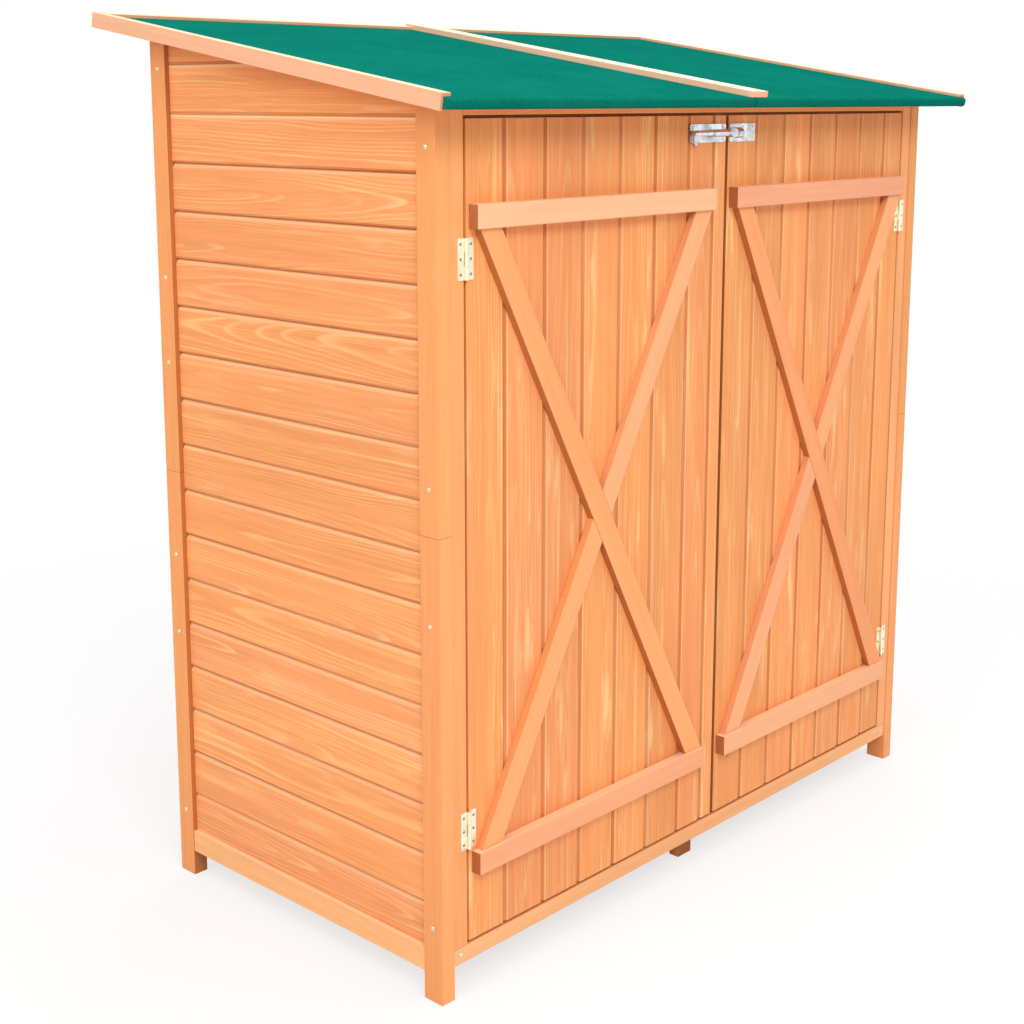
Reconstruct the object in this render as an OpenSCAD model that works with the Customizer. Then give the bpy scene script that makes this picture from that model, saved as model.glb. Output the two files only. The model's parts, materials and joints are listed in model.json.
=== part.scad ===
// Wooden garden shed with a mono-pitch felt roof and two ledged and braced doors.
// X runs from left to right, Y from the front to the back, Z up. The origin lies on the ground
// under the middle of the roof.

/* [Body] */
// Width over the outer faces of the corner posts
body_w = 1406; // [1100:1:1700]
// Depth over the outer faces of the corner posts
body_d = 711; // [520:1:1000]
// Height of the front posts at their front face
front_post_h = 1447; // [1300:1:1800]
// Height of the seam between the lower and the upper panels
seam_h = 782; // [600:1:1000]

/* [Posts and rails] */
// Width of a post across the shed
post_w = 29; // [25:0.5:45]
// Depth of a post along the side wall
post_d = 42; // [35:0.5:60]
// Underside of the side and back bottom rails above the ground
rail_z = 48; // [40:1:80]
// Height of the side and back rails
rail_h = 41; // [30:1:60]
// Step of the rails behind the outer faces of the posts
rail_set = 1; // [0.5:0.5:3]

/* [Wall boards] */
// Thickness of a wall board
board_t = 16; // [12:0.5:19]
// Visible width of a wall board
board_pitch = 84; // [70:1:100]
// Height of the lowest joint between wall boards
first_joint_z = 161; // [140:1:170]
// Step of the boards behind the outer faces of the posts
board_set = 9; // [4:0.5:12]
// Depth of a joint's groove
groove_d = 5; // [2:0.5:7]
// Height of the bevel under a joint
groove_bevel_h = 8; // [4:0.5:12]
// Height of the open shadow line at a joint
groove_gap_h = 2; // [1:0.5:4]

/* [Front frame] */
// Step of the frame and the doors behind the front faces of the posts
frame_set = 2; // [1:0.5:6]
// Width of a stile
stile_w = 31; // [24:1:50]
// Thickness of the stiles, the sill and the top rail from front to back
stile_d = 28; // [22:1:36]
// Underside of the sill above the ground
sill_z = 56; // [40:1:80]
// Height of the sill
sill_h = 29; // [20:1:40]
// Height of the top rail below the front posts' tops
top_rail_h = 23; // [18:1:40]
// Thickness of the stop behind the doors' top edges
stop_t = 7; // [5:0.5:12]
// Reach of the stop below the top rail
stop_h = 14; // [8:1:30]

/* [Doors] */
// Thickness of the door boards
door_t = 16; // [12:0.5:22]
// Clear gap round the doors
door_gap = 5; // [5:0.5:8]
// Gap between the two doors
meeting_gap = 8; // [6:0.5:12]
// Distance of the meeting gap's middle right of the shed's middle
meeting_x = 28; // [-60:1:60]
// Width of the left door's first board, at its hinges
left_first_board_w = 85; // [60:1:95]
// Spacing of the grooves on the left door
left_board_pitch = 94; // [70:0.5:110]
// Width of the narrow board at the left door's free edge
left_edge_board_w = 35; // [25:1:60]
// Width of the right door's first board, at its free edge
right_first_board_w = 89; // [60:1:95]
// Spacing of the grooves on the right door
right_board_pitch = 90; // [70:0.5:110]
// Width of a groove between door boards
door_groove_w = 10; // [3:0.5:12]
// Depth of a groove between door boards
door_groove_d = 4; // [2:0.5:6]
// Distance of the upper ledges below the doors' top edges
upper_ledge_drop = 127; // [80:1:250]
// Distance of the lower ledges above the doors' bottom edges
lower_ledge_rise = 118; // [60:1:250]
// Height of a ledge
ledge_h = 38; // [28:1:60]
// Thickness of the ledges
ledge_t = 20; // [14:0.5:24]
// Distance of the left ledges from the hinged edge of their door
left_ledge_inset = 6; // [5:1:20]
// Distance of the left ledges from the free edge of their door
left_ledge_stop = 51; // [10:1:80]
// Distance of the right ledges from the hinged edge of their door
right_ledge_inset = 12; // [5:1:20]
// Distance of the right ledges from the free edge of their door
right_ledge_stop = 6; // [4:1:80]
// Level width of a brace's cut ends
brace_cut_w = 48; // [30:1:60]
// Thickness of the braces
brace_t = 14; // [10:0.5:20]
// Distance of the braces from the left ends of the ledges
brace_left_inset = 11; // [4:1:20]
// Distance of the braces from the right ends of the ledges
brace_right_inset = 2; // [0:1:20]

/* [Hinges] */
// Height of a hinge
hinge_h = 64; // [50:1:90]
// Width of one leaf from the pin's axis
hinge_leaf_w = 17; // [13:0.5:18]
// Thickness of a leaf
hinge_leaf_t = 1.6; // [1:0.1:2]
// Radius of a knuckle
hinge_knuckle_r = 3.4; // [3:0.1:4]
// Radius of the hinge pin
hinge_pin_r = 1.5; // [1:0.1:2]
// Distance of the upper hinges below the upper ledges
upper_hinge_gap = 13; // [8:1:80]
// Distance of the lower hinges above the lower ledges
lower_hinge_gap = 7; // [6:1:80]

/* [Bolt] */
// Distance of the rod's axis below the doors' top edges
bolt_drop = 31; // [24:1:60]
// Length of the bolt's plate
bolt_plate_l = 106; // [100:1:140]
// Height of the bolt's plate and of the keeper
bolt_plate_h = 32; // [24:1:40]
// Thickness of the bolt's plate and of the keeper
bolt_plate_t = 1.5; // [1:0.1:3]
// Radius of the rod
bolt_rod_r = 5; // [4:0.5:6]
// Length of the rod
bolt_rod_l = 104; // [98:1:104]
// Length of the rod's housing
bolt_housing_l = 42; // [36:1:43]
// Length of the keeper's plate
keeper_l = 78; // [50:1:100]
// Length of the keeper's staple
staple_l = 16; // [10:1:20]

/* [Floor] */
// Thickness of the floor boards
floor_t = 16; // [12:0.5:22]
// Thickness of a floor bearer from front to back
bearer_d = 22; // [18:1:40]
// Height of a floor bearer
bearer_h = 39; // [25:1:45]
// Distance of a bearer from the front or back faces of the posts
bearer_set = 43; // [40:1:120]
// Width of the middle feet
foot_w = 40; // [30:1:80]

/* [Roof] */
// Reach of the verge trims beyond the posts at each side
side_overhang = 58; // [35:1:150]
// Reach of the felt's front lip before the posts
front_overhang = 78; // [50:1:150]
// Reach of the back trims behind the posts
back_overhang = 88; // [40:1:200]
// Pitch of the roof in degrees
roof_pitch = 9.2; // [5:0.1:12]
// Thickness of the roof boards
deck_t = 12; // [10:0.5:19]
// Thickness of the felt
felt_t = 3; // [2:0.5:4]
// Radius of the felt's bend at the front lip
felt_bend_r = 6.5; // [4:0.5:6.5]
// Reach of the felt under the front edge
felt_return = 26; // [15:1:40]
// Width of the trims on the felt
trim_w = 20; // [14:1:40]
// Thickness of the trims
trim_t = 6; // [4:0.5:10]
// Height of the trims' outer leg
trim_h = 26; // [24:1:50]
// Step of the verge trims behind the front lip
trim_set = 8; // [4:1:30]
// Width of the batten over the seam
batten_w = 48; // [30:1:70]
// Thickness of the batten over the seam
batten_t = 11; // [7:0.5:18]
// Step of the batten behind the front lip
batten_set = 3; // [3:1:30]
// Distance of the batten's middle right of the seam
batten_x = 13; // [-15:1:15]
// Gap between the roof's two halves under the batten
seam_gap = 4; // [2:0.5:8]

/* [Hidden] */
$fn = 48;

// Overrun of the cutting shapes
over = 1;
wood = "#f3a76d";
wood_dark = "#d98c50";
felt_green = "#148070";
zinc = "#d8d8d4";
brass = "#ece3b4";

// Width over the verge trims and depth from the felt's lip to the back trims
roof_w = body_w + 2 * side_overhang;
roof_d = front_overhang + body_d + back_overhang;

// Planes of the body
side_x = body_w / 2;
front_y = -roof_d / 2 + front_overhang;
back_y = front_y + body_d;
inner_x = side_x - post_w;
face_y = front_y + frame_set;
frame_back_y = face_y + stile_d;
rail_top = rail_z + rail_h;
sill_top = sill_z + sill_h;
roof_0 = front_post_h - front_y * tan(roof_pitch);
function roof_z(y) = roof_0 + y * tan(roof_pitch);

// Doorway and door leaves
opening_x = inner_x - stile_w;
door_x = opening_x - door_gap;
left_free_x = meeting_x - meeting_gap / 2;
right_free_x = meeting_x + meeting_gap / 2;
door_bottom = sill_top + door_gap;
top_rail_z = front_post_h - top_rail_h;
door_top = top_rail_z - door_gap;
ledge_y = face_y - ledge_t;
upper_ledge_z = door_top - upper_ledge_drop - ledge_h;
lower_ledge_z = door_bottom + lower_ledge_rise;
left_ledge = [-door_x + left_ledge_inset, left_free_x - left_ledge_stop];
right_ledge = [right_free_x + right_ledge_stop, door_x - right_ledge_inset];
brace_z = [lower_ledge_z + ledge_h, upper_ledge_z];
brace_y = face_y - brace_t;
left_edge_groove = left_free_x - left_edge_board_w;
left_grooves = [
  for (x = [-door_x + left_first_board_w : left_board_pitch : left_edge_groove - 2 * door_groove_w]) x,
  left_edge_groove];
right_grooves = [
  for (x = [right_free_x + right_first_board_w : right_board_pitch : door_x - 2 * door_groove_w]) x];

// Hinges: knuckles one above the other, the outer two on the frame
hinge_x = opening_x - door_gap / 2;
hinge_y = face_y - hinge_knuckle_r;
upper_hinge_z = upper_ledge_z - upper_hinge_gap - hinge_h / 2;
lower_hinge_z = lower_ledge_z + ledge_h + lower_hinge_gap + hinge_h / 2;
knuckle_gap = 0.3;
knuckle_h = (hinge_h - 2 * knuckle_gap) / 3;
notch_gap = 0.6;
pin_clear = 0.08;

// Bolt
bolt_z = door_top - bolt_drop;
bolt_end_gap = 2;
rod_standoff = 1;
rod_clear = 0.08;
housing_wall = 1.5;
housing_end_gap = 6;
tab_r = 5;
tab_t = 3;
tab_drop = 16;
tab_end = 6;
keeper_end_gap = 2;
staple_room = 3;
staple_inset = 8;
plate_corner_r = 4;
rod_y = face_y - bolt_plate_t - rod_standoff - bolt_rod_r;
plate_x1 = left_free_x - bolt_end_gap;
plate_x0 = plate_x1 - bolt_plate_l;
keeper_x0 = right_free_x + keeper_end_gap;

// Roof section, along the slope (s) and square to it (n)
stack = deck_t + felt_t + trim_t;
leg_n = stack - trim_h;
slope_back = (roof_d / 2 + leg_n * sin(roof_pitch)) / cos(roof_pitch);
bend_n = deck_t + felt_t - felt_bend_r;
slope_front = (-roof_d / 2 + felt_bend_r + bend_n * sin(roof_pitch)) / cos(roof_pitch) - felt_bend_r;
trim_front = slope_front + trim_set;
deck_back = slope_back - trim_t;
skirt_x = roof_w / 2 - trim_t;
deck_x = skirt_x - felt_t;

// A block between two opposite corners
module block(low, high) {
  translate(low) cube(high - low);
}

// An outline in Y and Z, drawn out along X
module along_x(x0, x1) {
  translate([x0, 0, 0]) rotate([90, 0, 90]) linear_extrude(x1 - x0) children();
}

// An outline in X and Z, drawn out along Y
module along_y(y0, y1) {
  translate([0, y1, 0]) rotate([90, 0, 0]) linear_extrude(y1 - y0) children();
}

module both_sides() {
  children();
  mirror([1, 0, 0]) children();
}

// Everything below the roof boards
module under_roof() {
  along_x(-roof_w, roof_w)
    polygon([[-roof_d, 0], [roof_d, 0], [roof_d, roof_z(roof_d)], [-roof_d, roof_z(-roof_d)]]);
}

// The roof's own frame: X across, Y up the slope, Z square to it
module on_slope() {
  translate([0, 0, roof_0]) rotate([roof_pitch, 0, 0]) children();
}

module post_lower(y0) {
  color(wood) block([-side_x, y0, 0], [-inner_x, y0 + post_d, seam_h]);
}

module post_upper(y0) {
  y1 = y0 + post_d;
  color(wood) along_x(-side_x, -inner_x)
    polygon([[y0, seam_h], [y1, seam_h], [y1, roof_z(y1)], [y0, roof_z(y0)]]);
}

// Section of a boarded panel: outer face at zero, a bevelled groove below each joint
function joint_points(z) = [
  [0, z - groove_bevel_h], [groove_d, z], [groove_d, z + groove_gap_h], [0, z + groove_gap_h]];
function joints(z0, z1) = [
  for (z = [first_joint_z : board_pitch : z1 - groove_bevel_h - groove_gap_h])
    if (z - groove_bevel_h > z0) z];

// A boarded panel that runs along X with its outer face towards the front
module boarding(length, z0, z1, joints_z) {
  outline = [
    [0, z0], for (z = joints_z) each joint_points(z), [0, z1], [board_t, z1], [board_t, z0]];
  rotate([90, 0, 90]) linear_extrude(length) polygon(outline);
}

module side_boarding(z0, z1, joints_z) {
  translate([-side_x + board_set, back_y - post_d, 0]) rotate([0, 0, -90])
    boarding(body_d - 2 * post_d, z0, z1, joints_z);
}

module back_boarding(z0, z1, joints_z) {
  translate([inner_x, back_y - board_set, 0]) rotate([0, 0, 180])
    boarding(2 * inner_x, z0, z1, joints_z);
}

module side_wall_lower() {
  color(wood) side_boarding(rail_top, seam_h, joints(rail_top, seam_h));
}

module side_wall_upper() {
  color(wood) intersection() {
    side_boarding(seam_h, roof_z(roof_d), joints(seam_h, front_post_h - board_pitch));
    under_roof();
  }
}

back_rail_z = roof_z(back_y - post_w) - rail_h;
module back_wall_lower() {
  color(wood) back_boarding(rail_top, seam_h, joints(rail_top, seam_h));
}

module back_wall_upper() {
  color(wood) back_boarding(seam_h, back_rail_z, joints(seam_h, back_rail_z - board_pitch / 2));
}

module side_bottom_rails() {
  color(wood_dark) both_sides()
    block([-side_x + rail_set, front_y + post_d, rail_z], [-inner_x, back_y - post_d, rail_top]);
}

module back_rails() {
  y0 = back_y - post_w;
  y1 = back_y - rail_set;
  color(wood_dark) {
    block([-inner_x, y0, rail_z], [inner_x, y1, rail_top]);
    along_x(-inner_x, inner_x)
      polygon([[y0, back_rail_z], [y1, back_rail_z], [y1, roof_z(y1)], [y0, roof_z(y0)]]);
  }
}

module front_stiles() {
  color(wood_dark) both_sides() along_x(-inner_x, -opening_x)
    polygon([
      [face_y, sill_top], [frame_back_y, sill_top],
      [frame_back_y, roof_z(frame_back_y)], [face_y, roof_z(face_y)]]);
}

module front_sill() {
  color(wood_dark) block([-inner_x, face_y, sill_z], [inner_x, frame_back_y, sill_top]);
}

// The rail over the doors, with a stop that hangs down behind them
module front_top_rail() {
  stop_y = face_y + door_t + door_gap;
  back = max(frame_back_y, stop_y + stop_t);
  color(wood_dark) along_x(-opening_x, opening_x) {
    polygon([[face_y, top_rail_z], [back, top_rail_z], [back, roof_z(back)], [face_y, roof_z(face_y)]]);
    translate([stop_y, top_rail_z - stop_h]) square([stop_t, stop_h + over]);
  }
}

module floor_boards() {
  color(wood) block(
    [-inner_x, frame_back_y, sill_top - floor_t], [inner_x, back_y - post_w, sill_top]);
}

bearer_top = sill_top - floor_t;
bearer_z = bearer_top - bearer_h;
bearer_front_y = front_y + bearer_set;
bearer_back_y = back_y - bearer_set - bearer_d;
module floor_bearers() {
  color(wood_dark) for (y = [bearer_front_y, bearer_back_y])
    block([-inner_x, y, bearer_z], [inner_x, y + bearer_d, bearer_top]);
}

module middle_feet() {
  color(wood) for (y = [bearer_front_y, bearer_back_y])
    block([-foot_w / 2, y, 0], [foot_w / 2, y + bearer_d, bearer_z]);
}

module roof_deck() {
  color(wood_dark) on_slope()
    block([-deck_x, slope_front + felt_t, 0], [-seam_gap / 2, deck_back, deck_t]);
}

// Outline of the felted edge with its rounded front lip
module felt_outline() {
  low = -felt_t + felt_bend_r;
  translate([slope_front + felt_bend_r, -felt_t])
    square([deck_back - slope_front - felt_bend_r, deck_t + 2 * felt_t]);
  translate([slope_front, low]) square([felt_bend_r, bend_n - low]);
  for (n = [low, bend_n]) translate([slope_front + felt_bend_r, n]) circle(felt_bend_r);
}

// Open underside behind the felt's return
module felt_underside(top_n) {
  translate([slope_front + felt_return, -felt_t - over])
    square([deck_back - slope_front, top_n + felt_t + over]);
}

module roof_felt() {
  color(felt_green) on_slope() {
    along_x(-deck_x, -seam_gap / 2) difference() {
      felt_outline();
      translate([slope_front + felt_t, 0]) square([deck_back - slope_front, deck_t]);
      felt_underside(deck_t);
    }
    along_x(-skirt_x, -deck_x) difference() {
      felt_outline();
      felt_underside(0);
    }
  }
}

// Angle trim: a leg on the felt and a leg down the outer edge
module trim_outline() {
  polygon([
    [0, stack], [trim_w, stack], [trim_w, stack - trim_t],
    [trim_t, stack - trim_t], [trim_t, leg_n], [0, leg_n]]);
}

module verge_trim() {
  color(wood) on_slope() translate([-roof_w / 2, 0, 0]) along_y(trim_front, slope_back)
    trim_outline();
}

batten_x0 = batten_x - batten_w / 2;
batten_x1 = batten_x + batten_w / 2;
trim_x = roof_w / 2 - trim_w;
module back_trims() {
  color(wood) on_slope() for (span = [[-trim_x, batten_x0], [batten_x1, trim_x]])
    translate([0, slope_back, 0]) along_x(span[0], span[1]) mirror([1, 0]) trim_outline();
}

module centre_batten() {
  color(wood) on_slope() block(
    [batten_x0, slope_front + batten_set, deck_t + felt_t],
    [batten_x1, slope_back, deck_t + felt_t + batten_t]);
}

// Knuckle number k of a hinge whose pin is the Z axis, made a little taller by room
module knuckle(k, r, room = 0) {
  translate([0, 0, -hinge_h / 2 + k * (knuckle_h + knuckle_gap) - room])
    cylinder(r = r, h = knuckle_h + 2 * room);
}

// Leaf plate left of the pin, cut out round the knuckles of the other leaf
module leaf_plate(others) {
  difference() {
    block(
      [-hinge_leaf_w, hinge_knuckle_r - hinge_leaf_t, -hinge_h / 2],
      [0, hinge_knuckle_r, hinge_h / 2]);
    for (k = others) knuckle(k, hinge_knuckle_r + notch_gap, knuckle_gap);
  }
}

module frame_leaf() {
  leaf_plate([1]);
  for (k = [0, 2]) knuckle(k, hinge_knuckle_r);
  translate([0, 0, -hinge_h / 2]) cylinder(r = hinge_pin_r, h = hinge_h);
}

module door_leaf() {
  difference() {
    union() {
      leaf_plate([0, 2]);
      knuckle(1, hinge_knuckle_r);
    }
    knuckle(1, hinge_pin_r + pin_clear, over);
  }
}

module at_hinges() {
  for (z = [lower_hinge_z, upper_hinge_z]) translate([-hinge_x, hinge_y, z]) children();
}

module frame_hinge_leaves() {
  color(brass) both_sides() at_hinges() frame_leaf();
}

module door_hinge_leaves() {
  color(brass) at_hinges() mirror([1, 0, 0]) door_leaf();
}

// Vertical door boards between two edges, with a groove at each joint of the front face
module door_boards(x0, x1, grooves) {
  color(wood) translate([0, face_y, door_bottom]) linear_extrude(door_top - door_bottom) polygon([
    [x0, 0],
    for (x = grooves) each [
      [x - door_groove_w / 2, 0], [x, door_groove_d], [x + door_groove_w / 2, 0]],
    [x1, 0], [x1, door_t], [x0, door_t]]);
}

module door_ledges(span) {
  color(wood_dark) for (z = [lower_ledge_z, upper_ledge_z])
    block([span[0], ledge_y, z], [span[1], face_y, z + ledge_h]);
}

// Ends of the braces between the ends of a ledge
function brace_span(ledge) = [ledge[0] + brace_left_inset, ledge[1] - brace_right_inset];

// Outline of a brace between the ledges that falls from left to right
module brace_outline(span) {
  x0 = span[0];
  x1 = span[1];
  polygon([
    [x0, brace_z[1]], [x0 + brace_cut_w, brace_z[1]],
    [x1, brace_z[0]], [x1 - brace_cut_w, brace_z[0]]]);
}

module door_long_brace(span) {
  color(wood_dark) along_y(brace_y, face_y) brace_outline(span);
}

// The other brace, in two lengths that butt against the long one
module door_short_braces(span) {
  color(wood_dark) along_y(brace_y, face_y) difference() {
    translate([span[0] + span[1], 0]) mirror([1, 0]) brace_outline(span);
    brace_outline(span);
  }
}

// A round bar along X on the bolt's axis
module on_bolt_axis(x0, x1, r) {
  translate([x0, rod_y, bolt_z]) rotate([0, 90, 0]) cylinder(r = r, h = x1 - x0);
}

// A round-topped bar along X that reaches from the bolt's axis back to the door
module bolt_arch(x0, x1, r) {
  block([x0, rod_y, bolt_z - r], [x1, face_y, bolt_z + r]);
  intersection() {
    on_bolt_axis(x0, x1, r);
    block([x0 - over, rod_y - 2 * r, bolt_z - 2 * r], [x1 + over, face_y, bolt_z + 2 * r]);
  }
}

// A thin plate on the door with rounded corners
module screwed_plate(x0, x1) {
  r = plate_corner_r;
  along_y(face_y - bolt_plate_t, face_y) translate([x0, bolt_z - bolt_plate_h / 2]) {
    translate([r, 0]) square([x1 - x0 - 2 * r, bolt_plate_h]);
    translate([0, r]) square([x1 - x0, bolt_plate_h - 2 * r]);
    for (x = [r, x1 - x0 - r], z = [r, bolt_plate_h - r]) translate([x, z]) circle(r);
  }
}

module bolt_plate() {
  x1 = plate_x1 - housing_end_gap;
  x0 = x1 - bolt_housing_l;
  color(zinc) difference() {
    union() {
      screwed_plate(plate_x0, plate_x1);
      bolt_arch(x0, x1, bolt_rod_r + rod_clear + housing_wall);
    }
    on_bolt_axis(x0 - over, x1 + over, bolt_rod_r + rod_clear);
  }
}

module bolt_rod() {
  tab_x = plate_x1 - bolt_rod_l + tab_end;
  color(zinc) {
    on_bolt_axis(plate_x1 - bolt_rod_l, plate_x1, bolt_rod_r);
    translate([tab_x, rod_y + tab_t / 2, bolt_z]) rotate([90, 0, 0]) linear_extrude(tab_t) {
      translate([-tab_r, -tab_drop]) square([2 * tab_r, tab_drop]);
      translate([0, -tab_drop]) circle(tab_r);
    }
  }
}

module bolt_keeper() {
  room = bolt_rod_r + staple_room;
  x0 = keeper_x0 + staple_inset;
  x1 = x0 + staple_l;
  color(zinc) {
    screwed_plate(keeper_x0, keeper_x0 + keeper_l);
    difference() {
      bolt_arch(x0, x1, room + housing_wall);
      bolt_arch(x0 - over, x1 + over, room);
    }
  }
}

post_lower(front_y);  // left_front_post_lower
post_upper(front_y);  // left_front_post_upper
post_lower(back_y - post_d);  // left_back_post_lower
post_upper(back_y - post_d);  // left_back_post_upper
mirror([1, 0, 0]) post_lower(front_y);  // right_front_post_lower
mirror([1, 0, 0]) post_upper(front_y);  // right_front_post_upper
mirror([1, 0, 0]) post_lower(back_y - post_d);  // right_back_post_lower
mirror([1, 0, 0]) post_upper(back_y - post_d);  // right_back_post_upper
side_wall_lower();  // left_wall_lower
side_wall_upper();  // left_wall_upper
mirror([1, 0, 0]) side_wall_lower();  // right_wall_lower
mirror([1, 0, 0]) side_wall_upper();  // right_wall_upper
back_wall_lower();
back_wall_upper();
side_bottom_rails();
back_rails();
front_stiles();
front_sill();
front_top_rail();
floor_boards();
floor_bearers();
middle_feet();
roof_deck();  // left_roof_deck
mirror([1, 0, 0]) roof_deck();  // right_roof_deck
roof_felt();  // left_roof_felt
mirror([1, 0, 0]) roof_felt();  // right_roof_felt
verge_trim();  // left_verge_trim
mirror([1, 0, 0]) verge_trim();  // right_verge_trim
back_trims();
centre_batten();
frame_hinge_leaves();
door_boards(-door_x, left_free_x, left_grooves);  // left_door_boards
door_ledges(left_ledge);  // left_door_ledges
door_long_brace(brace_span(left_ledge));  // left_door_long_brace
door_short_braces(brace_span(left_ledge));  // left_door_short_braces
door_hinge_leaves();  // left_door_hinge_leaves
bolt_plate();
bolt_rod();
door_boards(right_free_x, door_x, right_grooves);  // right_door_boards
door_ledges(right_ledge);  // right_door_ledges
door_long_brace(brace_span(right_ledge));  // right_door_long_brace
door_short_braces(brace_span(right_ledge));  // right_door_short_braces
mirror([1, 0, 0]) door_hinge_leaves();  // right_door_hinge_leaves
bolt_keeper();
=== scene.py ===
"""Looks of the wooden garden shed: stained fir, green roof felt, brassed hinges and a zinc bolt.

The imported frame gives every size. Each wooden node is replaced by the same solid, cut into its
single boards and with eased edges. Every board carries its own grain as attributes.
"""

import json
import math
import random

import bmesh
import bpy
from mathutils import Matrix, Vector

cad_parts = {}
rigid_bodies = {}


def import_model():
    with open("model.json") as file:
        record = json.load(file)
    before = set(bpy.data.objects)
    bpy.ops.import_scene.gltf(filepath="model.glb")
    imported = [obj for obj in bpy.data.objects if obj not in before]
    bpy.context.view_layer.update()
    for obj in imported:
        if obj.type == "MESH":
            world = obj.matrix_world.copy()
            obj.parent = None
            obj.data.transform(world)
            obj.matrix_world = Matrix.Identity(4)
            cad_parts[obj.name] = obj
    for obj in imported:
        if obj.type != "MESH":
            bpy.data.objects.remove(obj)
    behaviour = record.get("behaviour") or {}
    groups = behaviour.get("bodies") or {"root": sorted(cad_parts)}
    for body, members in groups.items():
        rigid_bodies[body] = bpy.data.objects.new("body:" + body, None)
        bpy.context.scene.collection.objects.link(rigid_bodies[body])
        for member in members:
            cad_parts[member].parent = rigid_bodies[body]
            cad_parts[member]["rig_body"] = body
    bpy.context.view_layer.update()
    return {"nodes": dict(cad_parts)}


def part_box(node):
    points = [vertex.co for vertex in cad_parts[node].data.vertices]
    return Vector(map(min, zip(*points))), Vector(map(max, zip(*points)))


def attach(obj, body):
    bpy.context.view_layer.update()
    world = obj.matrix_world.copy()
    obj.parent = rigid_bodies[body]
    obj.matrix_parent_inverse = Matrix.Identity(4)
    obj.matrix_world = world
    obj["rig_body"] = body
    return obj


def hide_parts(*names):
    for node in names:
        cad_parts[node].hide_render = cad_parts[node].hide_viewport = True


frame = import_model()
dice = random.Random(11)

MM = 0.001
X, Y, Z = Vector((1, 0, 0)), Vector((0, 1, 0)), Vector((0, 0, 1))
ROOF_PITCH = math.radians(9.2)
UP_SLOPE = Vector((0, math.cos(ROOF_PITCH), math.sin(ROOF_PITCH)))


def in_steps(first, step, count):
    """Places in metres, from a first place and a step in millimetres."""
    return [(first + step * k) * MM for k in range(count)]


# Joints of the wall boards, the grooves of the doors, and the joints of floor and roof boards:
# the first place, the step and their number
WALL_JOINTS = in_steps(162, 84, 17)
LEFT_DOOR_JOINTS = in_steps(-553, 94, 6) + [-11 * MM]
RIGHT_DOOR_JOINTS = in_steps(121, 90, 6)
FLOOR_JOINTS = in_steps(-237.5, 93, 6)
DECK_JOINTS = in_steps(-334, 96, 8)


def srgb(red, green, blue):
    """A colour as it looks on screen, 0 to 255, in the values that shaders take."""
    def linear(c):
        c /= 255
        return c / 12.92 if c <= 0.04045 else ((c + 0.055) / 1.055) ** 2.4
    return (linear(red), linear(green), linear(blue), 1)


# Shader building

def place(tree, kind, inputs=(), **settings):
    """A new shader node with its settings, and with values or links at its inputs."""
    made = tree.nodes.new(kind)
    for key, value in settings.items():
        setattr(made, key, value)
    for key, value in dict(inputs).items():
        if isinstance(value, bpy.types.NodeSocket):
            tree.links.new(value, made.inputs[key])
        else:
            made.inputs[key].default_value = value
    return made


def calc(tree, operation, *values, clamp=False):
    return place(tree, "ShaderNodeMath", enumerate(values), operation=operation,
                 use_clamp=clamp).outputs[0]


def vec(tree, operation, *values):
    made = place(tree, "ShaderNodeVectorMath", enumerate(values), operation=operation)
    return made.outputs["Value" if operation == "LENGTH" else "Vector"]


def blend(tree, factor, first, second, how="MIX"):
    return place(tree, "ShaderNodeMix", {0: factor, 6: first, 7: second}, data_type="RGBA",
                 blend_type=how, clamp_factor=True).outputs[2]


def spread(tree, value, low, high, new_low=0.0, new_high=1.0, kind="SMOOTHSTEP"):
    """A value's range from low to high, taken over to a new range."""
    return place(tree, "ShaderNodeMapRange", {0: value, 1: low, 2: high, 3: new_low, 4: new_high},
                 interpolation_type=kind).outputs[0]


def noise(tree, vector, scale=1.0, detail=2.0, rough=0.5):
    return place(tree, "ShaderNodeTexNoise", {"Vector": vector, "Scale": scale, "Detail": detail,
                                              "Roughness": rough}).outputs[0]


def join(tree, x, y, z):
    return place(tree, "ShaderNodeCombineXYZ", {0: x, 1: y, 2: z}).outputs[0]


def parted(tree, vector):
    return place(tree, "ShaderNodeSeparateXYZ", {0: vector}).outputs


def centred(tree, value, reach):
    """A value from 0 to 1, moved to lie around zero and scaled to a reach."""
    return calc(tree, "MULTIPLY", calc(tree, "SUBTRACT", value, 0.5), reach)


def weighed(tree, first, share, second, other_share):
    """The sum of two values, each with its share."""
    return calc(tree, "ADD", calc(tree, "MULTIPLY", first, share),
                calc(tree, "MULTIPLY", second, other_share))


def shaded_by(tree, colour, shade):
    """A colour made lighter or darker by a factor."""
    return blend(tree, 1.0, colour, join(tree, shade, shade, shade), "MULTIPLY")


def tinged(tree, colour, other, mask, strength):
    """A colour that goes over to another one where a mask is set."""
    return blend(tree, calc(tree, "MULTIPLY", mask, strength), colour, other)


def bumped(tree, shader, height, strength, distance):
    bump = place(tree, "ShaderNodeBump", {"Height": height, "Strength": strength,
                                          "Distance": distance})
    tree.links.new(bump.outputs[0], shader.inputs["Normal"])


def effect(name, inputs, outputs):
    """An empty shader group with named sockets."""
    tree = bpy.data.node_groups.new(name, "ShaderNodeTree")
    for label, kind, value in inputs:
        socket = tree.interface.new_socket(name=label, in_out="INPUT",
                                           socket_type="NodeSocket" + kind)
        socket.default_value = value
    for label, kind in outputs:
        tree.interface.new_socket(name=label, in_out="OUTPUT", socket_type="NodeSocket" + kind)
    given = tree.nodes.new("NodeGroupInput").outputs
    return tree, given, tree.nodes.new("NodeGroupOutput").inputs


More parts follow.
